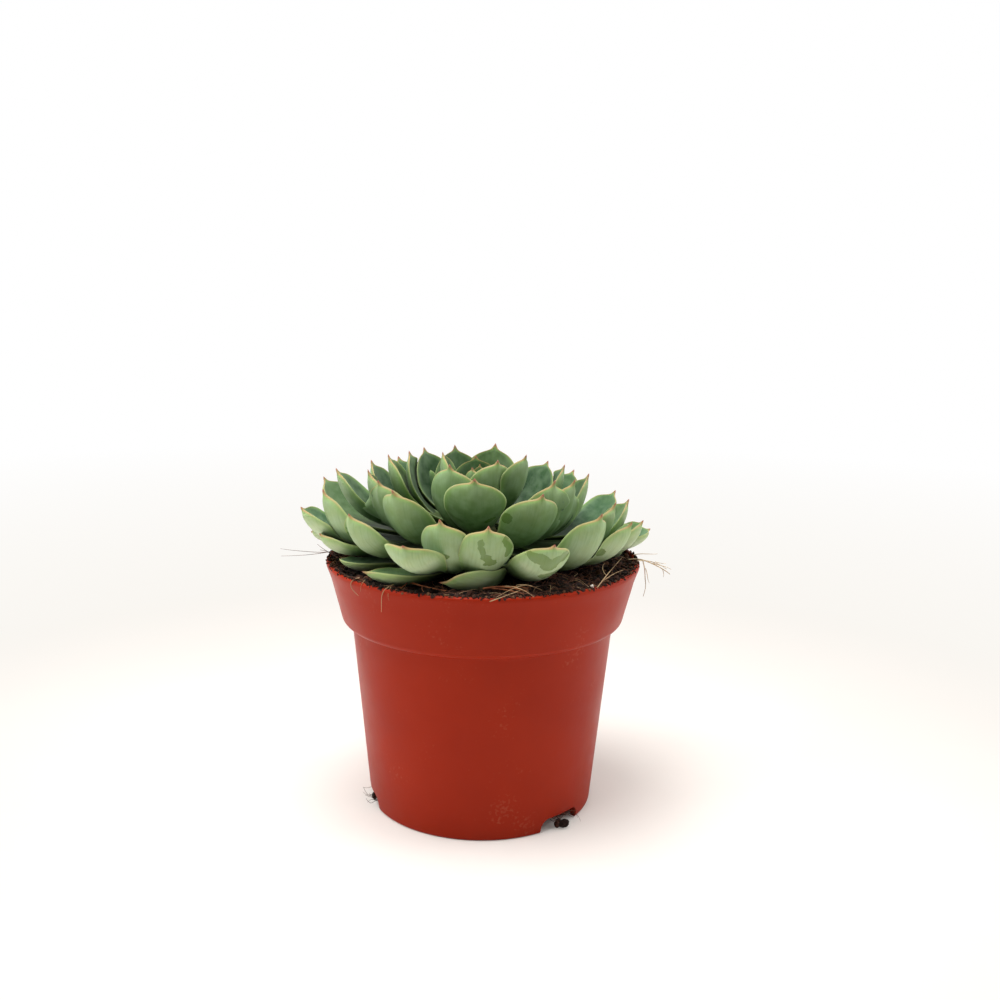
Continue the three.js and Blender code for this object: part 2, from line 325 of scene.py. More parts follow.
def collar_radius(height):
    share = (height - COLLAR_FOOT) / (POT_TOP - COLLAR_FOOT)
    return COLLAR_FOOT_RADIUS + (RIM - BEAD - COLLAR_FOOT_RADIUS) * share


def rounded_line(points, steps=4):
    """A section line in mm, given as (radius, height, corner radius), with its corners rounded."""
    line = []
    for i, (radius, height, bend) in enumerate(points):
        here = Vector((radius, 0, height))
        if bend == 0:
            line.append(here)
            continue
        before = Vector((points[i - 1][0], 0, points[i - 1][1])) - here
        after = Vector((points[i + 1][0], 0, points[i + 1][1])) - here
        reach = min(bend, before.length * 0.45, after.length * 0.45)
        start, end = here + before.normalized() * reach, here + after.normalized() * reach
        for k in range(steps + 1):
            share = k / steps
            line.append(start * (1 - share) ** 2 + here * 2 * share * (1 - share)
                        + end * share ** 2)
    return line


def spun(name, line, steps):
    """Draws a line in mm by extruding one corner along it, then spins it round the Z axis."""
    nothing_selected()
    bpy.ops.mesh.primitive_plane_add(size=0.01)
    piece = newest(name)
    bpy.ops.object.mode_set(mode="EDIT")
    bpy.ops.mesh.select_all(action="SELECT")
    bpy.ops.mesh.merge(type="CENTER")
    bpy.ops.transform.translate(value=line[0] * MM)
    for here, there in zip(line, line[1:]):
        bpy.ops.mesh.extrude_vertices_move(TRANSFORM_OT_translate={"value": (there - here) * MM})
    bpy.ops.mesh.select_all(action="SELECT")
    bpy.ops.mesh.spin(steps=steps, angle=2 * math.pi, center=(0, 0, 0), axis=(0, 0, 1))
    bpy.ops.mesh.select_all(action="SELECT")
    bpy.ops.mesh.remove_doubles(threshold=0.01 * MM)
    bpy.ops.mesh.normals_make_consistent(inside=False)
    bpy.ops.object.mode_set(mode="OBJECT")
    return piece


floor_top = FLOOR_UNDERSIDE + WALL
pot_section = [
    (0, FLOOR_UNDERSIDE, 0),
    (FOOT - 2 * WALL, FLOOR_UNDERSIDE, 0.5),
    (FOOT - 1.7 * WALL, 0, 0.3),
    (FOOT - 0.4, 0, 0.4),
    (body_radius(0.7), 0.7, 0.5),
    (body_radius(COLLAR_FOOT - 1.5), COLLAR_FOOT - 1.5, 0.8),
    (body_radius(COLLAR_FOOT) + 0.3, COLLAR_FOOT, 0.3),
    (COLLAR_FOOT_RADIUS - 0.9, COLLAR_FOOT, 0.4),
    (COLLAR_FOOT_RADIUS, COLLAR_FOOT + 1, 0.6),
    (collar_radius(POT_TOP - 5), POT_TOP - 5, 1.5),
    (RIM, POT_TOP - 1.3, 0.35),
    (RIM, POT_TOP - 0.4, 0.3),
    (RIM - 0.5, POT_TOP, 0.3),
    (RIM - BEAD - WALL, POT_TOP, 0.4),
    (collar_radius(COLLAR_FOOT + 2) - WALL, COLLAR_FOOT + 2, 1),
    (body_radius(COLLAR_FOOT - 1) - WALL, COLLAR_FOOT - 1, 1),
    (body_radius(floor_top) - WALL, floor_top, 1),
    (0, floor_top, 0),
]
pot = spun("nursery_pot", rounded_line(pot_section), SPIN_STEPS)
print("pot shell:", len(pot.data.vertices), "corners, rim radius", round(RIM, 2), "mm")

# %% Drainage notches
NOTCH_BEARINGS = [44, 164, -76]
NOTCH_WIDTH = 17
NOTCH_HEIGHT = 4.7
NOTCH_INNER = 30
NOTCH_OUTER = FOOT + 6  # well outside the wall, so that the cut is clean
NOTCH_SHOULDER = 3.2


def outward(bearing):
    """The level direction at a bearing in degrees, where 0 is the front and 90 the right."""
    return Vector((math.sin(math.radians(bearing)), -math.cos(math.radians(bearing)), 0))


for bearing in NOTCH_BEARINGS:
    nothing_selected()
    bpy.ops.mesh.primitive_cube_add(size=1)
    cutter = newest("notch_cutter")
    bpy.ops.object.mode_set(mode="EDIT")
    bpy.ops.mesh.select_all(action="SELECT")
    depth = NOTCH_OUTER - NOTCH_INNER
    bpy.ops.transform.resize(value=(NOTCH_WIDTH * MM, depth * MM, 2 * NOTCH_HEIGHT * MM))
    bpy.ops.mesh.select_all(action="DESELECT")
    bpy.ops.object.mode_set(mode="OBJECT")
    for edge in cutter.data.edges:
        a, b = (cutter.data.vertices[v].co for v in edge.vertices)
        edge.select = min(a.z, b.z) > 0 and abs(a.x - b.x) < 1e-6
    bpy.ops.object.mode_set(mode="EDIT")
    bpy.ops.mesh.bevel(offset=NOTCH_SHOULDER * MM, segments=5)
    bpy.ops.object.mode_set(mode="OBJECT")
    middle = outward(bearing) * (NOTCH_INNER + depth / 2) * MM
    turned = Matrix.Rotation(math.radians(bearing), 4, "Z")
    cutter.data.transform(Matrix.Translation(middle) @ turned)
    with_modifier(pot, "BOOLEAN", object=cutter, operation="DIFFERENCE", solver="EXACT")
    bpy.data.objects.remove(cutter)
only(pot)
SHARPEST_SMOOTH_EDGE = math.radians(28)
bpy.ops.object.shade_smooth_by_angle(angle=SHARPEST_SMOOTH_EDGE)
print("pot with notches:", len(pot.data.polygons), "faces")

# %% [markdown]
# ## The pot's plastic
#
# The real finish is moulded polypropylene, coloured through and left as it came from a
# polished mould: half glossy, with a faint orange-peel ripple, tiny scuffs from packing and a
# breath of dust. Its refractive index is 1.49. The ripple is drawn about two millimetres
# across, which is true to such pots, and the fine grain at a third of a millimetre.

# %% Moulded polypropylene
plastic, tree = new_material("moulded polypropylene, terracotta")
place = node(tree, "TexCoord").outputs["Object"]
cloud = node(tree, "TexNoise", {"Vector": place, "Scale": 1 / 0.03, "Detail": 3})
body_tone = node(tree, "ValToRGB", {"Fac": cloud.outputs["Fac"]})
colour_stops(body_tone, [(0.3, "#8d2006"), (0.7, "#962509")])
dust_speck = node(tree, "TexNoise", {"Vector": place, "Scale": 1 / 0.0011, "Detail": 2})
dust_patch = node(tree, "TexNoise", {"Vector": place, "Scale": 1 / 0.014, "Detail": 3})
speckle = node(tree, "Math", {0: dust_speck.outputs["Fac"], 1: dust_patch.outputs["Fac"]},
               operation="MULTIPLY")
dusty = node(tree, "MapRange", {"Value": speckle.outputs["Value"], "From Min": 0.36,
                                "From Max": 0.5, "To Max": 0.12})
dusted = node(tree, "Mix", {"Factor": dusty.outputs["Result"], "A": body_tone.outputs["Color"],
                            "B": linear("#c98b70")}, data_type="RGBA")
ripple = node(tree, "TexNoise", {"Vector": place, "Scale": 1 / 0.002, "Detail": 1})
grain = node(tree, "TexNoise", {"Vector": place, "Scale": 1 / 0.00033, "Detail": 2})
gloss = node(tree, "MapRange", {"Value": dust_patch.outputs["Fac"], "From Min": 0.3,
                                "From Max": 0.7, "To Min": 0.36, "To Max": 0.48})
end_material(tree, dusted.outputs["Result"], gloss.outputs["Result"],
             [(ripple.outputs["Fac"], 0.12, 0.15), (grain.outputs["Fac"], 0.15, 0.03)],
             IOR=1.49, Specular_IOR_Level=0.1, Subsurface_Weight=0.03,
             Subsurface_Scale=0.8 * MM)
hand_over(pot, "pot_plastic", plastic, "pot")

# %% [markdown]
# ## The soil
#
# The potting mix is peat and coconut fibre, nearly black when damp, filled to just under the
# rim. Its body is spun like the pot, then its top is roughened by noise of three sizes:
# settled hollows, clods, and grains. Loose crumbs and fibres come later, as pieces of their
# own, because noise alone looks like tarmac.

# %% Soil body
GAP = 0.3
SOIL_AT_RIM = 83.4
SOIL_AT_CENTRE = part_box("soil")[1].z / MM
SOIL_INSET = WALL + GAP
SOIL_RINGS = 44
SOIL_STEPS = 200


def soil_height(radius):
    """The settled surface's height at a distance from the middle, in mm."""
    return SOIL_AT_CENTRE + (SOIL_AT_RIM - SOIL_AT_CENTRE) * (radius / (RIM - SOIL_INSET)) ** 2


soil_line = [Vector((0, 0, floor_top + GAP)),
             Vector((body_radius(4) - SOIL_INSET, 0, floor_top + GAP)),
             Vector((body_radius(COLLAR_FOOT - 1) - SOIL_INSET, 0, COLLAR_FOOT - 1)),
             Vector((collar_radius(COLLAR_FOOT + 2) - SOIL_INSET, 0, COLLAR_FOOT + 2))]
top_edge = collar_radius(SOIL_AT_RIM) - SOIL_INSET
for k in range(SOIL_RINGS + 1):
    radius = top_edge * (1 - k / SOIL_RINGS)
    soil_line.append(Vector((radius, 0, soil_height(radius))))
soil = spun("potting_soil", soil_line, SOIL_STEPS)

# %% The soil's rough top
SOIL_LAYERS = [  # size across, height, where the noise is cut: hollows, clods, grains
    (11, 0.7, 3.1), (3.2, 0.55, 7.7), (1.1, 0.35, 1.3),
]
EDGE_FADE = 1.2  # the roughness fades over this much of the soil's edge
EDGE_KEPT = 0.35  # the share of it that is left at the very edge
SURFACE_ABOVE = 78  # the corners above this height are the soil's surface


def soil_bumps(x, y):
    """How far the soil stands above its settled height at a place, all in mm."""
    fade = min(1, max(0, (top_edge - math.hypot(x, y)) / EDGE_FADE + EDGE_KEPT))
    return fade * sum(noise.noise(Vector((x / across, y / across, cut))) * height
                      for across, height, cut in SOIL_LAYERS)


co = corners(soil)
for point in co:
    if point[2] > SURFACE_ABOVE * MM:
        point[2] += soil_bumps(*(point[:2] / MM)) * MM
move_corners(soil, co)
only(soil)
bpy.ops.object.shade_smooth()
print("soil top at the rim:", SOIL_AT_RIM, "mm, at the middle:", round(SOIL_AT_CENTRE, 1), "mm")

# %% Damp peat
peat, tree = new_material("damp peat and coir, crumbled")
place = node(tree, "TexCoord").outputs["Object"]
clod = node(tree, "TexNoise", {"Vector": place, "Scale": 1 / 0.003, "Detail": 5,
                               "Roughness": 0.7})
crumb = node(tree, "TexVoronoi", {"Vector": place, "Scale": 1 / 0.0009})
peat_tone = node(tree, "ValToRGB", {"Fac": clod.outputs["Fac"]})
colour_stops(peat_tone, [(0.3, "#0d0a09"), (0.5, "#1d1411"), (0.66, "#35221a"),
                         (0.8, "#55382a")])
end_material(tree, peat_tone.outputs["Color"], 0.92,
             [(crumb.outputs["Distance"], 0.9, 0.5), (clod.outputs["Fac"], 0.8, 1.2)],
             Specular_IOR_Level=0.25)
hand_over(soil, "soil", peat, "soil")

# %% [markdown]
# ## The stem
#
# Under the leaves stands a short woody stem, as thick as a thumb, ringed by the scars of leaves
# that fell. It is spun from its outline, and the rings and lumps are pushed out of it. Its
# axis is read from the CAD stem: the lowest and the highest corner lie on it. The whole
# rosette leans with that axis.

# %% Stem and the rosette's axis
stem_co = corners(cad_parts["stem"])
stem_foot = Vector(stem_co[stem_co[:, 2].argmin()])
stem_top = Vector(stem_co[stem_co[:, 2].argmax()])
axis = (stem_top - stem_foot).normalized()
print("rosette leans", round(math.degrees(axis.angle(UP)), 2), "degrees")

STEM_BELOW = 9.0
crown = stem_foot + axis * STEM_BELOW * MM
STEM_OUTLINE = [(0, -9), (5.5, -8), (8, 2), (9.2, 5), (8.9, 7.5), (7.8, 10), (6.3, 12.2),
                (4.8, 14.4), (3.3, 16.5), (0, 18.2)]
STEM_STEPS = 48
STEM_CUTS = 4  # each stretch of the outline is cut into this many, so that scars can form
outline = [Vector((radius, 0, height)) for radius, height in STEM_OUTLINE]
stem_line = [here.lerp(there, k / STEM_CUTS) for here, there in zip(outline, outline[1:])
             for k in range(STEM_CUTS)] + [outline[-1]]
stem = spun("woody_stem", stem_line, STEM_STEPS)
SCAR_DEPTH = 0.18
SCAR_WAVE = 2.6  # radians for each mm of height, which is a scar every 2.4 mm
LUMP_DEPTH = 0.25
co = corners(stem)
for point in co:
    x, y, z = point / MM
    radius = math.hypot(x, y)
    if radius > 0.5:
        scar = SCAR_DEPTH * math.sin(z * SCAR_WAVE)
        scar += LUMP_DEPTH * noise.noise(Vector((x / 2, y / 2, z / 2)))
        point[:2] *= (radius + scar) / radius
move_corners(stem, co)
lean = UP.rotation_difference(axis).to_matrix().to_4x4()
stem.data.transform(Matrix.Translation(crown) @ lean)
only(stem)
bpy.ops.object.shade_smooth()

bark, tree = new_material("corky succulent bark")
place = node(tree, "TexCoord").outputs["Object"]
rough = node(tree, "TexNoise", {"Vector": place, "Scale": 1 / 0.002, "Detail": 5})
bark_tone = node(tree, "ValToRGB", {"Fac": rough.outputs["Fac"]})
colour_stops(bark_tone, [(0.3, "#4a4a2c"), (0.6, "#7b7c52"), (0.8, "#9a8a66")])
end_material(tree, bark_tone.outputs["Color"], 0.8, [(rough.outputs["Fac"], 0.7, 0.4)])
hand_over(stem, "stem", bark, "stem")

# %% [markdown]
# ## One leaf blank
#
# Every leaf of the rosette is the same plan at another size: narrow at the foot, widest two
# thirds of the way along, broad at the shoulders, and drawn in to a small hard point. So one
# straight blank is modelled, and each leaf is a copy that is laid along its own midrib.
# The blank starts as a ring that is extruded station by station, each scaled to the leaf's
# width and thickness there, and is closed to a point. A subdivision surface then smooths it.

# %% The blank
LEAF_RING = 20
STATIONS = [  # share of the length, half-width, thickness
    (0.00, 0.26, 0.42), (0.08, 0.32, 0.55), (0.16, 0.41, 0.68), (0.25, 0.52, 0.80),
    (0.33, 0.63, 0.89), (0.41, 0.75, 0.95), (0.49, 0.85, 0.99), (0.56, 0.93, 1.00),
    (0.63, 0.98, 0.98), (0.69, 1.01, 0.93), (0.75, 1.00, 0.86), (0.80, 0.95, 0.77),
    (0.84, 0.87, 0.67), (0.873, 0.76, 0.57), (0.90, 0.63, 0.48), (0.92, 0.50, 0.40),
    (0.935, 0.36, 0.32), (0.946, 0.22, 0.25), (0.956, 0.125, 0.18), (0.972, 0.07, 0.11),
]
nothing_selected()
bpy.ops.mesh.primitive_circle_add(vertices=LEAF_RING, radius=1, fill_type="NGON")
blank = newest("leaf_blank")
bpy.ops.object.mode_set(mode="EDIT")
bpy.ops.mesh.select_all(action="SELECT")
bpy.ops.transform.resize(value=(STATIONS[0][1], STATIONS[0][2], 1))
for (at, wide, thick), (next_at, next_wide, next_thick) in zip(STATIONS, STATIONS[1:]):
    bpy.ops.mesh.extrude_region_move(TRANSFORM_OT_translate={"value": (0, 0, next_at - at)})
    bpy.ops.transform.resize(value=(next_wide / wide, next_thick / thick, 1),
                             center_override=(0, 0, next_at))
bpy.ops.mesh.extrude_region_move(TRANSFORM_OT_translate={"value": (0, 0, 1 - STATIONS[-1][0])})
bpy.ops.mesh.merge(type="CENTER")
bpy.ops.mesh.select_all(action="SELECT")
bpy.ops.mesh.normals_make_consistent(inside=False)
bpy.ops.object.mode_set(mode="OBJECT")
with_modifier(blank, "SUBSURF", levels=1, render_levels=1)
only(blank)
bpy.ops.object.shade_smooth()
print("leaf blank:", len(blank.data.vertices), "corners")

# %% The blank's own coordinates
blank_co = corners(blank)
along = np.clip(blank_co[:, 2], 0, 1)
level = np.round(blank_co[:, 2], 5)
wide_at = {z: abs(blank_co[level == z, 0]).max() for z in set(level)}
thick_at = {z: abs(blank_co[level == z, 1]).max() for z in set(level)}
half_share = np.array([wide_at[z] for z in level])
thick_share = np.array([thick_at[z] for z in level])
NO_SIZE = 1e-6  # at the point itself, the blank has no width or thickness to divide by
across = np.divide(blank_co[:, 0], half_share, out=np.zeros(len(level)),
                   where=half_share > NO_SIZE)
through = np.divide(blank_co[:, 1], thick_share, out=np.zeros(len(level)),
                    where=thick_share > NO_SIZE)
print("widest at", round(float(along[half_share.argmax()]), 2), "of the length")

# %% [markdown]
# ## The leaf's skin
#
# The real skin is a smooth fleshy one under a bloom of powdery wax, which turns its green
# towards grey and scatters the highlights. Undersides are pale where the leaf has aged, and
# upper faces are a darker blue-green. Both faces darken steeply towards the foot: partly the
# leaf's own deeper green there, partly painted shade where the leaves crowd. The margin is a
# thin translucent line, yellow-green along the sides, tan to pink towards the tip, and the
# point itself is reddish brown and dry. A wider yellow-green band inside the margin is a
# painted glow of light shining through the thin edge. Where a finger or a drop has rubbed the
# wax off, the bare skin shows as sharp olive patches with a shine.
# Flesh scatters light inside it, so the skin has some subsurface scattering.
# All this is a stack of thin colours, each laid over the last one in a share that depends on
# where on the leaf it is, and one function lays such a colour. The patterns follow a map of the
# leaf laid flat, on which 1 is 50 mm, so a scale of 90 is half a millimetre. The lengthwise
# streaks are drawn that far apart, a little coarser than the real veins, to show.

# %% Waxy leaf skin
skin, tree = new_material("waxy succulent leaf skin")


def laid_over(below, above, *ranges):
    """Lays one colour over another, in a share that measured values decide.

    Each range is (value, from, to, share at from, share at to) and turns a value smoothly into
    a share. The shares of all ranges are multiplied.
    """
    share = None
    for value, low, high, share_low, share_high in ranges:
        eased = node(tree, "MapRange", {"Value": value, "From Min": low, "From Max": high,
                                        "To Min": share_low, "To Max": share_high},
                     interpolation_type="SMOOTHSTEP").outputs["Result"]
        if share is not None:
            eased = node(tree, "Math", {0: share, 1: eased},
                         operation="MULTIPLY").outputs["Value"]
        share = eased
    return node(tree, "Mix", {"Factor": share, "A": below, "B": above},
                data_type="RGBA").outputs["Result"]


length_share, edge_mm, under, age, tone, rubbed_field = (
    node(tree, "Attribute", attribute_name=name).outputs["Fac"]
    for name in ("along", "edge_mm", "under", "age", "tone", "rubbed"))
leaf_map = node(tree, "UVMap", uv_map="leaf_map").outputs["UV"]
stretched = node(tree, "Mapping", {"Vector": leaf_map, "Scale": (1, 0.07, 1)}).outputs["Vector"]
streaks, mottle, grain, ragged = (
    node(tree, "TexNoise", {"Vector": field, "Scale": scale, "Detail": detail,
                            "Roughness": roughness}).outputs["Fac"]
    for field, scale, detail, roughness in (
        (stretched, 90, 3, 0.5), (leaf_map, 14, 5, 0.5), (leaf_map, 120, 2, 0.5),
        (leaf_map, 22, 3, 0.6)))

# From the foot to the point each ramp runs from near black to pale: partly the leaf's deeper green
# near its foot, partly painted shade where the leaves crowd.
young_under, old_under, young_upper, old_upper = (
    node(tree, "ValToRGB", {"Fac": length_share}) for _ in range(4))
for ramp, stops in (  # from the foot to the point
        (young_under, [(0.35, "#10220a"), (0.6, "#2f511e"), (0.76, "#587d42"), (0.93, "#7a9762")]),
        (old_under, [(0.3, "#182d0e"), (0.52, "#5d7c40"), (0.72, "#b4c49c"), (0.93, "#8fa66c")]),
        (young_upper, [(0.3, "#061a05"), (0.6, "#0f3312"), (0.85, "#1b3f1c"), (0.97, "#36592e")]),
        (old_upper, [(0.3, "#0c280b"), (0.6, "#24492a"), (0.85, "#3b603d"), (0.97, "#527548")])):
    colour_stops(ramp, stops)
under_colour_and_foot_shade = node(tree, "Mix", {"Factor": age, "A": young_under.outputs["Color"],
                                  "B": old_under.outputs["Color"]},
                    data_type="RGBA").outputs["Result"]
upper_face_and_foot_shade = laid_over(young_upper.outputs["Color"], old_upper.outputs["Color"],
                       (age, 0.1, 0.8, 0, 1))
pale_edged = laid_over(upper_face_and_foot_shade, linear("#86a183"), (edge_mm, 0.4, 3.0, 0.3, 0))
flesh = laid_over(pale_edged, under_colour_and_foot_shade, (under, 0.35, 0.65, 0, 1))
bloomed = laid_over(flesh, linear("#9bb690"), (mottle, 0.32, 0.68, 0, 0.46),
                    (length_share, 0.3, 0.75, 0.1, 1), (under, 0, 1, 0.4, 1))
streaked = laid_over(bloomed, linear("#4b6f34"), (streaks, 0.42, 0.72, 0, 0.2))
toned = laid_over(streaked, linear("#8a9c4e"), (tone, 0, 1, 0, 0.16))
# A yellow-green band up to 2.4 mm inside the margin, from the middle of the leaf on: a painted
# glow of light shining through the thin edge.
painted_edge_glow = laid_over(toned, linear("#7ea34c"), (edge_mm, 0.3, 2.4, 0.5, 0),
                    (length_share, 0.4, 0.7, 0, 1))
margin = laid_over(painted_edge_glow, linear("#b2bf82"), (edge_mm, 0.15, 0.5, 0.65, 0))
blushed = laid_over(margin, linear("#ad7d56"), (length_share, 0.82, 0.97, 0, 0.7),
                    (edge_mm, 0.15, 0.9, 1, 0))
pointed = laid_over(blushed, linear("#935746"), (length_share, 0.966, 0.99, 0, 1))
rub = node(tree, "Math", {0: rubbed_field, 1: ragged}, operation="ADD").outputs["Value"]
RUB_FROM, RUB_TO = 0.98, 1.04  # so near to each other that a rubbed patch has a sharp edge
rubbed_colour = laid_over(pointed, linear("#4d6a1c"), (rub, RUB_FROM, RUB_TO, 0, 0.62))
gloss = node(tree, "MapRange", {"Value": rub, "From Min": RUB_FROM, "From Max": RUB_TO,
                                "To Min": 0.5, "To Max": 0.16},
             interpolation_type="SMOOTHSTEP").outputs["Result"]
end_material(tree, rubbed_colour, gloss, [(streaks, 0.12, 0.08), (grain, 0.2, 0.05)], IOR=1.42,
             Specular_IOR_Level=0.35, Subsurface_Weight=0.08, Subsurface_Scale=1.2 * MM,
             Subsurface_Radius=(0.7, 1.0, 0.35), Sheen_Weight=0.06, Sheen_Roughness=0.45)

# %% [markdown]
# ## Growing the leaves
#
# On the real plant the leaves sit in a spiral, oldest outside and lowest. A leaf leaves the
# stem nearly level, then turns up, and the turn comes nearer to its end on the older leaves.
# Each leaf's foot and tip are measured on its CAD solid: the foot is the middle of the corners
# nearest to the stem, and the tip is the corner farthest from the foot. Its midrib is the
# smooth arc between them that keeps close to a corner point, given for each whorl as a share
# of the way out, a share of the way up, and how far it stands above that. A few low leaves are
# swept sideways, so their corner lies at another bearing than their tip. On a strongly swept
# leaf a margin can lie farther out than the tip, so the tip is the far corner of the least
# bearing. The blank is then bent onto that arc.

# %% Whorls
WHORLS = [  # leaves, width, thickness, corner's share out and up, its rise, age, bluntness
    (6, 15.0, 3.0, 0.85, 0.80, -2.0, 0.75, 0.9),
    (12, 19.0, 4.2, 0.80, 0.02, -0.8, 1.0, 0.8),
    (12, 19.5, 4.2, 0.80, 0.02, -4.2, 0.72, 0.8),
    (13, 20.0, 3.8, 0.74, 0.06, -0.8, 0.4, 0.9),
    (9, 20.0, 3.4, 0.70, 0.12, 0.0, 0.2, 0.95),
    (4, 17.0, 2.6, 0.65, 0.28, 0.0, 0.4, 1.0),
]
NARROW = {"leaf_22": 0.84, "leaf_23": 0.9, "leaf_11": 0.92}  # share of the whorl's width
ROLLED = {"leaf_03": 32, "leaf_02": 6}  # degrees, raising the margin that faces the front
SWEPT = {"leaf_01": 14, "leaf_02": 22, "leaf_03": 28, "leaf_23": 3}  # degrees from the tip
RUBBED = {  # patches on the underside: place across and along, width and length in mm
    "leaf_11": [(-0.5, 0.86, 7, 5), (0, 0.82, 6, 5), (0.5, 0.87, 8, 4), (0.3, 0.7, 9, 5)],
    "leaf_12": [(-0.8, 0.7, 3, 5)],
    "leaf_22": [(-0.3, 0.88, 2, 4), (-0.16, 0.83, 2.2, 4), (0, 0.78, 3.2, 4),
                (0.17, 0.73, 4.4, 3.6), (0.9, 0.84, 3, 7), (0.8, 0.76, 2, 4)],
    "leaf_23": [(0, 0.75, 4.5, 2.8)],
    "leaf_24": [(-0.75, 0.64, 3, 5)],
    "leaf_32": [(-0.88, 0.75, 2.5, 5)],
    "leaf_44": [(0.53, 0.6, 4, 2.6)],
}
GOLDEN_ANGLE = 137.5
ROLL = 4  # degrees that a leaf may lie turned about its own length
HUG = 0.85  # how closely a midrib keeps to its corner
FOOT_DEPTH = 1.2 * MM  # corners this near to the innermost one make up a leaf's foot
STRONG_SWEEP = 10  # degrees
FAR_OUT = 0.85  # of the farthest corner's reach


def rosette_place(point):
    """A point as (bearing in degrees, reach, height), all measured from the rosette's axis."""
    offset = Vector(point) - crown
    height = offset.dot(axis)
    level_part = lean.to_3x3().inverted() @ (offset - axis * height)
    return math.degrees(math.atan2(level_part.x, -level_part.y)), level_part.length, height


def rosette_point(bearing, reach, height):
    return crown + lean.to_3x3() @ (outward(bearing) * reach) + axis * height


def measured_leaf(node_name):
    """The foot and the tip of a CAD leaf, each as (bearing, reach, height)."""
    co = np.unique(corners(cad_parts[node_name]).round(6), axis=0)
    reaches = np.array([rosette_place(point)[1] for point in co])
    foot = co[reaches < reaches.min() + FOOT_DEPTH].mean(0)
    tip = co[np.linalg.norm(co - foot, axis=1).argmax()]
    if SWEPT.get(node_name, 0) > STRONG_SWEEP:
        far = [rosette_place(point) for point in co[reaches > FAR_OUT * reaches.max()]]
        return rosette_place(foot), min(far)
    return rosette_place(foot), rosette_place(tip)


def midrib(foot, tip, corner_out, corner_up, rise, sweep=0):
    """The four points that a leaf's arc is drawn from."""
    bearing = tip[0] + sweep
    reach = foot[1] + (tip[1] - foot[1]) * corner_out
    height = foot[2] + (tip[2] - foot[2]) * corner_up + rise * MM
    start, end = rosette_point(bearing, *foot[1:]), rosette_point(*tip)
    corner = rosette_point(bearing, reach, height)
    return [start, start.lerp(corner, HUG), end.lerp(corner, HUG), end]


# %% Bending the blank onto a midrib
UNDER_SHARE = 0.8  # a leaf's flesh bulges mostly on its underside
UPPER_SHARE = 0.16
CUP = 0.28  # how far the margins rise, for each mm of half-width
SECTION_POWER = 1.5  # how gradually a cross-section thins to its margin
KEEL = 0.3 * MM  # a low ridge along the underside, near the tip
KEEL_WIDTH = 0.25
RIM_THICKNESS = 0.12 * MM
WAVE = 0.22 * MM  # how far a margin waves up and down
LEAF_MAP_MM = 50  # the leaf map's unit
PATCH_EDGE = 1.5  # a rubbed patch fades out at this share of its size
leaf_up = {}  # for each leaf, the direction its upper face looks in at every corner


def smooth_step(values, low, high):
    share = np.clip((values - low) / (high - low), 0, 1)
    return share * share * (3 - 2 * share)


def grown_leaf(name, arc, width, thickness, roll, seed, blunt=1.0, patches=()):
    """A copy of the blank, laid along an arc; lengths are in metres and roll is in degrees.

    blunt below 1 broadens the shoulders. Each patch of rubbed skin on the underside is
    (place across, place along, width in mm, length in mm).
    """
    draw = random.Random(seed)
    phase = [draw.uniform(0, 2 * math.pi) for _ in range(5)]
    p0, p1, p2, p3 = (np.array(point) for point in arc)
    at = along[:, None]
    back = 1 - at
    middle = back ** 3 * p0 + 3 * back ** 2 * at * p1 + 3 * back * at ** 2 * p2 + at ** 3 * p3
    course = back ** 2 * (p1 - p0) + 2 * back * at * (p2 - p1) + at ** 2 * (p3 - p2)
    course /= np.linalg.norm(course, axis=1)[:, None]
    side = np.cross(np.array(axis), course)
    side /= np.linalg.norm(side, axis=1)[:, None]
    upward = np.cross(course, side)

    ripple = 1 + 0.025 * np.sin(8 * along + phase[0])
    ripple += 0.02 * across * np.sin(13 * along + phase[1])
    bluntness = blunt + (1 - blunt) * smooth_step(along, 0.9, 0.945)
    half = half_share ** bluntness * width / 2 * ripple
    body = thickness * thick_share * np.abs(through) ** SECTION_POWER
    share = np.where(through < 0, -UNDER_SHARE, UPPER_SHARE)
    cup = CUP * half * np.minimum(1, 2 * along) * across ** 2
    wave = WAVE * across ** 2 * np.sin(9 * along + phase[2] + across * 1.3)
    keel = np.where(through < 0, -KEEL, 0) * np.exp(-(across / KEEL_WIDTH) ** 2)
    keel *= smooth_step(along, 0.5, 0.8) * (1 - smooth_step(along, 0.88, 0.98))
    rim = RIM_THICKNESS * through
    x = across * half
    y = cup + share * body + wave * half_share + keel + rim * (half_share > 0)
    twist = math.radians(roll)
    x, y = x * math.cos(twist) - y * math.sin(twist), x * math.sin(twist) + y * math.cos(twist)
    co = middle + side * x[:, None] + upward * y[:, None]

    leaf = blank.copy()
    leaf.data = blank.data.copy()
    leaf.name = leaf.data.name = name
    bpy.context.scene.collection.objects.link(leaf)
    move_corners(leaf, co)
    leaf_up[leaf.name] = upward
    painted(leaf, "along", along)
    painted(leaf, "edge_mm", (1 - np.abs(across)) * half / MM)
    painted(leaf, "under", (1 - through) / 2)
    arc_length = (np.linalg.norm(p1 - p0) + np.linalg.norm(p2 - p1) + np.linalg.norm(p3 - p2)) / MM
    flat = np.stack([across * half / MM, along * arc_length], 1) / LEAF_MAP_MM
    flat += [draw.uniform(0, 40), draw.uniform(0, 40)]  # no two leaves share a pattern
    loops = np.empty(len(leaf.data.loops), int)
    leaf.data.loops.foreach_get("vertex_index", loops)
    leaf.data.uv_layers.new(name="leaf_map").data.foreach_set("uv", flat[loops].ravel())
    painted(leaf, "tone", np.full(len(along), draw.random()))
    rubbed = np.zeros(len(along))
    for place_across, place_along, patch_width, patch_length in patches:
        off_across = (across - place_across) * half / MM / (patch_width / 2)
        off_along = (along - place_along) * arc_length / (patch_length / 2)
        rubbed = np.maximum(rubbed, np.clip(PATCH_EDGE - np.hypot(off_across, off_along), 0, 1))
    painted(leaf, "rubbed", rubbed * (through < 0))
    return leaf


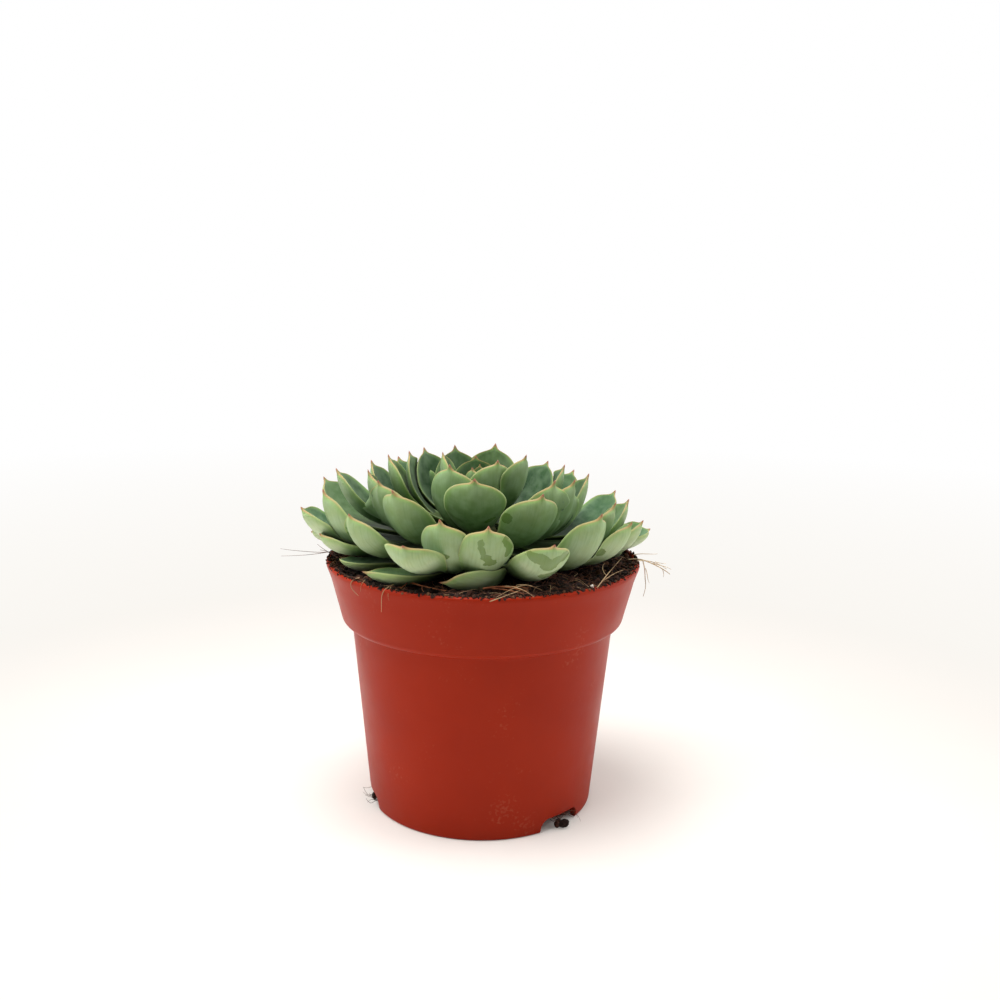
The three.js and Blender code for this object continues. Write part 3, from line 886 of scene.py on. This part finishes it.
# %% Grow every leaf
names = sorted(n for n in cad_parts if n.startswith("leaf_"))
leaves = {}
i = 0
for count, width, thickness, corner_out, corner_up, rise, leaf_age, blunt in WHORLS:
    for _ in range(count):
        foot, tip = measured_leaf(names[i])
        arc = midrib(foot, tip, corner_out, corner_up, rise, SWEPT.get(names[i], 0))
        roll = ROLLED.get(names[i], ROLL * math.sin(math.radians(GOLDEN_ANGLE * i)))
        own_width = width * NARROW.get(names[i], 1)
        leaf = grown_leaf("waxy_" + names[i], arc, own_width * MM, thickness * MM, roll, i, blunt,
                          RUBBED.get(names[i], ()))
        painted(leaf, "age", np.full(len(along), leaf_age))
        hand_over(leaf, "leaf", skin, names[i])
        leaves[names[i]] = leaf
        i += 1
print("grew", len(leaves), "leaves of", len(blank.data.polygons), "faces")

# %% [markdown]
# ## Leaves give way to each other
#
# Leaves this fleshy and this crowded press on each other, and a younger leaf, which grew
# inside an older one, keeps its shape while the older one bends round its back. A cloth or
# soft-body simulation could find that, but it is enough to do it corner by corner, youngest
# leaf first: a corner of the older leaf that lies in or above a younger leaf is moved out
# through its back, and the bend is then evened out over its neighbours. Only shallow
# crossings are cleared. Deeper ones stay, most of them near the feet and out of sight.

# %% Press the leaves apart
PRESS_REACH = 2.6 * MM  # a deeper crossing is left, because clearing it would tear the shape
PRESS_GAP = 0.35 * MM
PRESS_FROM = 0.3  # nearer to the foot than this share, leaves do grow into each other
PRESS_TO = 0.995  # the point itself only follows its neighbours
JUST_INSIDE = 0.01 * MM
EVENING_PASSES = 3
edges = np.array([edge.vertices for edge in blank.data.edges])
neighbours = np.bincount(edges.ravel(), minlength=len(along))[:, None]


def pressed(co, upward, younger):
    """Moves the corners of an older leaf to lie behind a younger one, and counts them."""
    shape, low, high = younger
    count = 0
    for k in np.flatnonzero((along > PRESS_FROM) & (along < PRESS_TO)):
        if not ((co[k] > low) & (co[k] < high)).all():
            continue
        down = -Vector(upward[k])
        place, normal, _, _ = shape.ray_cast(Vector(co[k]), down, PRESS_REACH)
        if place and normal.dot(down) < 0:  # that was its upper face, and its back lies below
            place = shape.ray_cast(place + down * JUST_INSIDE, down, PRESS_REACH)[0]
        if place:
            co[k] = place + down * PRESS_GAP
            count += 1
    return count


search = []  # for each leaf that is done: a search tree of its faces, and its box with a margin
moved = 0
for name in sorted(leaves, reverse=True):
    leaf = leaves[name]
    start = corners(leaf)
    co = start.copy()
    for younger in search:
        moved += pressed(co, leaf_up[leaf.name], younger)
    shift = co - start
    for _ in range(EVENING_PASSES):
        total = np.zeros_like(shift)
        np.add.at(total, edges[:, 0], shift[edges[:, 1]])
        np.add.at(total, edges[:, 1], shift[edges[:, 0]])
        average = total / neighbours
        grow = np.linalg.norm(average, axis=1) > np.linalg.norm(shift, axis=1)
        shift[grow] = average[grow]
    co = start + shift
    move_corners(leaf, co)
    faces = [tuple(face.vertices) for face in leaf.data.polygons]
    shape = bvhtree.BVHTree.FromPolygons([tuple(point) for point in co], faces)
    search.append((shape, co.min(0) - PRESS_REACH, co.max(0) + PRESS_REACH))
print("corners pressed aside:", moved)

# %% [markdown]
# ## The heart
#
# The middle of the rosette is a tight bud of seven leaves that haven't opened. They are the
# same blank, small and steep, set a golden angle apart, and joined as one piece.

# %% Heart
HEART_LEAVES = 7
HEART_BASE = 18.8
HEART_TIP = 32.5
HEART_TIP_RISE = 0.35  # each further leaf of the bud is this much taller
HEART_FOOT = 0.3
HEART_MIDDLE = 0.8
HEART_SPREAD = 1.1  # and its tip lies this much farther out
HEART_WIDTH = 4
HEART_WIDENING = 0.7  # and it is this much wider
HEART_THICKNESS = 1.5
HEART_CORNER = (0.8, 0.3)
bud = []
for i in range(HEART_LEAVES):
    foot = (GOLDEN_ANGLE * i, HEART_FOOT * MM, HEART_BASE * MM)
    tip = (GOLDEN_ANGLE * i, (HEART_MIDDLE + HEART_SPREAD * i) * MM,
           (HEART_TIP + HEART_TIP_RISE * i) * MM)
    arc = midrib(foot, tip, *HEART_CORNER, 0)
    leaf = grown_leaf("bud_leaf", arc, (HEART_WIDTH + HEART_WIDENING * i) * MM,
                      HEART_THICKNESS * MM, 0, seed=100 + i)
    painted(leaf, "age", np.full(len(along), 0.1))
    bud.append(leaf)
nothing_selected()
for leaf in bud:
    leaf.select_set(True)
bpy.context.view_layer.objects.active = bud[0]
bpy.ops.object.join()
heart = newest("heart_bud")
hand_over(heart, "leaf", skin, "heart")
bpy.data.objects.remove(blank)

# %% [markdown]
# ## Loose crumbs and perlite
#
# Real potting mix is loose: crumbs of peat from half a millimetre to three, and now and then a
# white grain of perlite, lie on the settled surface and spill onto the rim. One rough lump of
# twenty faces is modelled and copied, each copy turned, squashed and sized at random. A crumb
# that would push into a leaf is left out, which a search tree of all leaf corners finds fast.

# %% Tools for loose matter
leaf_corners = np.concatenate([corners(leaf) for leaf in leaves.values()])
near_leaf = kdtree.KDTree(len(leaf_corners))
for i, point in enumerate(leaf_corners):
    near_leaf.insert(point, i)
near_leaf.balance()


def rough_lump(subdivisions, depth, pitch):
    """A ball that noise has made rough, to be copied."""
    nothing_selected()
    bpy.ops.mesh.primitive_ico_sphere_add(subdivisions=subdivisions, radius=1)
    lump = newest("lump")
    co = corners(lump)
    for point in co:
        point *= 1 + depth * noise.noise(Vector(point) * pitch)
    move_corners(lump, co)
    return lump


def room_at(x, y, z):
    """How far a place in mm is from the nearest corner of a leaf, in mm."""
    return near_leaf.find((x * MM, y * MM, z * MM))[2] / MM


def soil_top(x, y):
    """The height of the soil's surface at a place, in mm."""
    return soil_height(min(math.hypot(x, y), top_edge)) + soil_bumps(x, y)


def lump_at(lump, draw, x, y, z, size):
    """A copy of a lump, its own mesh turned and squashed, at a place in mm."""
    copy = lump.copy()
    copy.data = lump.data.copy()
    bpy.context.scene.collection.objects.link(copy)
    squash = draw.uniform(0.6, 1.3), draw.uniform(0.6, 1.3), draw.uniform(0.5, 0.9)
    shape = Matrix.Diagonal((*squash, 1))
    turned = Matrix.Rotation(draw.uniform(0, 6.28), 4, (draw.random(), draw.random(), 0.5))
    place = Matrix.Translation(Vector((x, y, z)) * MM)
    copy.data.transform(place @ turned @ shape @ Matrix.Scale(size / 2 * MM, 4))
    painted(copy, "tone", np.full(len(copy.data.vertices), draw.random()))
    return copy


def joined(name, parts):
    """Joins parts into one named piece."""
    nothing_selected()
    for part in parts:
        part.select_set(True)
    bpy.context.view_layer.objects.active = parts[0]
    bpy.ops.object.join()
    return newest(name)


# %% Crumbs
CRUMBS = 1900
CRUMBS_TO = 52
LIP_CRUMBS = 560  # damp peat smeared along the pot's lip, mostly at the front
LIP_FROM = 50.4  # what lies beyond this radius lies on the lip
LIP_EDGE = 52.1  # and beyond this one it sticks to the lip's outer edge
LIP_TO = 52.45
draw = random.Random(11)
crumb_lump = rough_lump(1, 0.45, 1.7)
crumbs = []
while len(crumbs) < CRUMBS:
    bearing, radius = draw.uniform(0, 360), CRUMBS_TO * draw.uniform(0.3, 1) ** 0.4
    size = 0.6 + 2.0 * draw.random() ** 3  # few of them are large
    x, y = outward(bearing).xy * radius
    z = soil_top(x, y) + 0.2 * size
    if radius > LIP_FROM:
        z, size = POT_TOP + 0.2 * size - 0.1, size * 0.75
    if room_at(x, y, z) > size / 2 + 0.6:
        crumbs.append(lump_at(crumb_lump, draw, x, y, z, size))
for _ in range(LIP_CRUMBS):
    bearing = draw.triangular(-180, 180, 0)
    radius = draw.uniform(51, LIP_TO)
    size = 0.45 + 0.8 * draw.random() ** 2
    x, y = outward(bearing).xy * radius
    z = POT_TOP + (0.15 * size if radius < LIP_EDGE else draw.uniform(-0.5, 0))
    if room_at(x, y, z) > size / 2 + 0.4:
        crumbs.append(lump_at(crumb_lump, draw, x, y, z, size))
crumb_piece = joined("peat_crumbs", crumbs)

crumb_peat, tree = new_material("peat and coir crumbs")
place = node(tree, "TexCoord").outputs["Object"]
spotty = node(tree, "TexNoise", {"Vector": place, "Scale": 1 / 0.0012, "Detail": 3})
own_tone = node(tree, "Attribute", attribute_name="tone").outputs["Fac"]
crumb_tone = node(tree, "ValToRGB", {"Fac": own_tone})
colour_stops(crumb_tone, [(0.2, "#1a110e"), (0.55, "#3a231a"), (0.85, "#5d3828"),
                          (0.97, "#8c6043")])
shaded = node(tree, "Mix", {"Factor": spotty.outputs["Fac"], "A": crumb_tone.outputs["Color"],
                            "B": linear("#1a100d")}, data_type="RGBA")
end_material(tree, shaded.outputs["Result"], 0.9, [(spotty.outputs["Fac"], 0.8, 0.3)],
             Specular_IOR_Level=0.25)
hand_over(crumb_piece, "soil", crumb_peat)
print("crumbs:", len(crumb_piece.data.polygons), "faces")

# %% Perlite
GRAINS = [  # place and size, in mm
    (33.3, -37.3, 1.7), (10.8, -43.9, 1.1), (-9, 47, 1.5), (30, 38, 1.2), (-38, 28, 1.4),
]
grains = [lump_at(crumb_lump, draw, x, y, soil_top(x, y) + 0.35 * size, size)
          for x, y, size in GRAINS]
perlite_piece = joined("perlite_grains", grains)
perlite, tree = new_material("expanded perlite")
pits = node(tree, "TexVoronoi", {"Vector": node(tree, "TexCoord").outputs["Object"],
                                 "Scale": 1 / 0.0004})
# The grain is grey in its pits and white on its rims: painted shade in the pits.
pit_tone_painted_shade = node(tree, "ValToRGB", {"Fac": pits.outputs["Distance"]})
colour_stops(pit_tone_painted_shade, [(0.1, "#a89c8e"), (0.5, "#e2dace")])
end_material(tree, pit_tone_painted_shade.outputs["Color"], 0.85, [(pits.outputs["Distance"], 1, 0.15)])
hand_over(perlite_piece, "soil", perlite)
bpy.data.objects.remove(crumb_lump)

# %% [markdown]
# ## Fibres and roots
#
# Coconut fibre lies in the mix like bits of tangled thread, and thin roots and straw stick out
# over the rim and out of the drainage notches. A fibre is a smooth curve with a round bevel
# that thins to its end, turned into a mesh once it is placed. The short ones are strewn at
# random. The longer ones at the rim are laid one by one, and at the notches they come out in
# small sprays.

# %% Tools for fibres
THINNING = 0.6  # a fibre has lost this share of its thickness at its end


def fibre_piece(name, strands, material):
    """One mesh of many fibres; a strand is (thickness in mm, points in mm)."""
    nothing_selected()
    bpy.ops.curve.primitive_nurbs_path_add()
    piece = newest(name)
    piece.data.splines.clear()
    for thickness, points in strands:
        spline = piece.data.splines.new("NURBS")
        spline.points.add(len(points) - 1)
        for i, (target, point) in enumerate(zip(spline.points, points)):
            target.co = (*(Vector(point) * MM), 1)
            target.radius = thickness / 2 * (1 - THINNING * i / (len(points) - 1))
        spline.use_endpoint_u = True
        spline.order_u = min(4, len(points))
        spline.resolution_u = 3
    piece.data.bevel_depth = MM
    piece.data.bevel_resolution = 0
    piece.data.use_fill_caps = True
    only(piece)
    bpy.ops.object.convert(target="MESH")
    piece = newest(name)
    bpy.ops.object.shade_smooth()
    hand_over(piece, "soil", material)
    print(name, "has", len(piece.data.polygons), "faces")


def fibre_material(name, dark, pale):
    """A dry plant fibre, streaked between a dark and a pale colour."""
    material, tree = new_material(name)
    place = node(tree, "TexCoord").outputs["Object"]
    patchy = node(tree, "TexNoise", {"Vector": place, "Scale": 1 / 0.004, "Detail": 4})
    tint = node(tree, "ValToRGB", {"Fac": patchy.outputs["Fac"]})
    colour_stops(tint, [(0.35, dark), (0.65, pale)])
    ridges = node(tree, "TexNoise", {"Vector": place, "Scale": 1 / 0.0003})
    end_material(tree, tint.outputs["Color"], 0.75, [(ridges.outputs["Fac"], 0.5, 0.05)])
    return material


coir = fibre_material("coir fibre", "#341c13", "#7d4a30")
straw = fibre_material("dry straw fibre", "#8a6a48", "#c4a47c")
root = fibre_material("dry root hair", "#a48a68", "#d6c3a2")
rust_root = fibre_material("rusty living root", "#7a3f22", "#b06a3c")


FIBRE_REST = 0.15  # a fibre's middle lies this far above what it lies on
FIBRE_ROOM = 0.7  # and at least this far from any leaf
FIBRES_TO = 52.5


def strewn(draw, count, low, high, thickness, rise):
    """Random fibres on the soil between two radii, each a crooked run of points in mm."""
    strands = []
    while len(strands) < count:
        x, y = outward(draw.uniform(0, 360)).xy * draw.uniform(low, high)
        heading, length = draw.uniform(0, 2 * math.pi), draw.uniform(5, 15)
        points = []
        for k in range(6):
            z = max(soil_top(x, y), POT_TOP if math.hypot(x, y) > LIP_FROM else 0)
            lift = rise * math.sin(math.pi * k / 5) * draw.random()
            points.append((x, y, z + FIBRE_REST + lift))
            heading += draw.uniform(-0.7, 0.7)
            x += math.cos(heading) * length / 5
            y += math.sin(heading) * length / 5
        clear = all(near_leaf.find(Vector(p) * MM)[2] > FIBRE_ROOM * MM for p in points)
        if clear and max(math.hypot(p[0], p[1]) for p in points) < FIBRES_TO:
            strands.append((thickness * draw.uniform(0.6, 1.4), points))
    return strands


# %% Strewn fibres
draw = random.Random(5)
fibre_piece("coir_fibres", strewn(draw, 420, 34, 51.5, 0.17, 1.6), coir)
fibre_piece("straw_fibres", strewn(draw, 46, 36, 51, 0.2, 1.8), straw)

# %% Roots at the rim
fibre_piece("root_tuft_right", [
    (0.55, [(48.5, -5, 84.8), (52, -3, 84.9), (56, -3, 83.6), (61, -4, 81.2), (63, -3, 79.4)]),
    (0.4, [(50, -7, 84.6), (53.5, -3, 84.4), (58, -1, 83.8), (62, -2, 80.9)]),
    (0.4, [(53.5, -3, 84.4), (54.6, -3.4, 81.4), (54.2, -4, 77.6), (55.1, -4.4, 75.4),
           (54, -4.6, 72)]),
    (0.3, [(54.6, -3.4, 81.4), (55.6, -3, 79.5), (55.3, -3, 77.3), (56.2, -3, 76.2)]),
    (0.3, [(57, -3, 83.2), (59, -5, 82.8), (61.5, -6, 82.9), (62.8, -6, 81.8)]),
    (0.25, [(58, -2, 83.4), (60.5, -1, 82.4), (62, 0, 82.4)]),
    (0.3, [(51, 1, 85), (54, 2, 85.6), (57, 2, 84.8), (59.5, 3, 85)]),
    (0.25, [(60, -4, 81.8), (61, -4, 79.8), (60.6, -4, 78.6)]),
], root)
fibre_piece("root_hairs_left", [
    (0.22, [(-50.5, 1, 84.8), (-54, 2, 84.2), (-60, 2, 84.5), (-66, 2, 85), (-69, 3, 85.2)]),
    (0.22, [(-50.5, 3, 84.8), (-55, 3, 83.6), (-61, 3, 82.8), (-69, 4, 82.4)]),
    (0.3, [(-48, -8, 85), (-51.5, -5, 86), (-54, -2, 86.6), (-56, 0, 87.6)]),
    (0.3, [(-49, -4, 85), (-52.8, -1, 85.6), (-55.4, 2, 85.2)]),
], coir)
fibre_piece("rusty_roots_front", [
    (0.8, [(-27.5, -27, 85.6), (-25.5, -31, 85.8), (-23.5, -36, 85.4), (-22, -39.5, 85)]),
    (0.6, [(-22.6, -38, 85.1), (-23.6, -41.5, 84.9), (-24.6, -43.5, 84.6)]),
    (0.6, [(-22.6, -38, 85.1), (-19, -42, 85), (-15, -44.5, 84.9), (-11, -46.5, 84.8)]),
    (0.5, [(-18, -42.5, 85), (-18.5, -45, 84.8), (-17.5, -47, 84.6)]),
    (0.7, [(0, -46, 85.4), (4, -45, 86.2), (8, -45.6, 86), (13, -47.5, 85.2)]),
    (0.5, [(1, -45, 85.2), (5, -46.5, 85.8), (9, -47.5, 85.3), (12, -49.5, 84.9)]),
    (0.4, [(3, -44, 85.4), (8, -43.6, 86), (13.5, -45.5, 85.6)]),
], rust_root)
fibre_piece("straw_front", [
    (0.3, [(6.5, -46, 86.2), (9.5, -47.5, 87), (12.5, -49.5, 86), (15, -51.5, 84.6)]),
    (0.3, [(14.8, -43, 85.6), (11.5, -46, 87.4), (8, -49.5, 86.2), (4, -52, 84.6)]),
    (0.35, [(2, -53.4, 83.6), (4.5, -53, 84.5), (8, -51, 85.2), (11, -48, 85.6)]),
    (0.3, [(10, -44, 86), (12, -46.5, 87.6), (15.5, -48.5, 86.8), (17.5, -47, 85.4)]),
    (0.4, [(34.5, -41, 84.8), (38, -33, 86.6), (41.5, -25, 87.6), (45, -16, 88.2)]),
    (0.3, [(36.5, -36, 85.4), (40.5, -32, 87.2), (44, -27, 86.8)]),
    (0.35, [(38, -33, 86.6), (36.5, -28, 87.4), (38.5, -23, 88)]),
], straw)
fibre_piece("roots_over_the_rim", [
    (0.35, [(-27, -41, 85), (-29.6, -43.6, 84.6), (-30.6, -43.7, 82), (-30.4, -42.2, 78.4),
            (-30.6, -41.6, 76.6)]),
    (0.25, [(-27.5, -43, 84.8), (-28.8, -44.6, 83.4), (-28, -44.7, 81)]),
    (0.35, [(-38, -33, 85), (-40.5, -34, 84.6), (-41.3, -34, 82.2), (-39.3, -34.6, 80.6),
            (-38, -36.2, 80)]),
    (0.25, [(-36, -36, 85), (-37.4, -38, 84.4), (-37.2, -37.8, 81.8)]),
], straw)

# %% Fibres and a peat plug at the drainage notches
PLUGS = [  # place and size, in mm
    (27.4, -28.6, 1.6, 3.4), (25.5, -27.6, 1.2, 2.8), (-36.4, -9.2, 1.3, 2.2),
]
plug_lump = rough_lump(2, 0.35, 2.3)
plugs = [lump_at(plug_lump, draw, *place_and_size) for place_and_size in PLUGS]
plug_piece = joined("peat_in_the_notches", plugs)
hand_over(plug_piece, "soil", crumb_peat)
bpy.data.objects.remove(plug_lump)

SPRAYS = [(46, 36.2), (49, 36.4), (-74, 36.2)]  # bearing in degrees, and radius in mm
SPRAY_HAIRS = 7
notch_strands = []
for bearing, radius in SPRAYS:
    for _ in range(SPRAY_HAIRS):
        start = outward(bearing + draw.uniform(-7, 7)) * radius
        z = draw.uniform(1, 4)
        points = []
        lateral = Vector((-start.y, start.x, 0)).normalized() * draw.uniform(-0.8, 0.8)
        for step in range(5):
            here = start * (1 + 0.035 * step) + lateral * 1.2 * step
            points.append((here.x, here.y, max(0.3, z + 0.9 * step * draw.uniform(-0.4, 1))))
        notch_strands.append((0.22, points))
fibre_piece("coir_at_the_notches", notch_strands, coir)
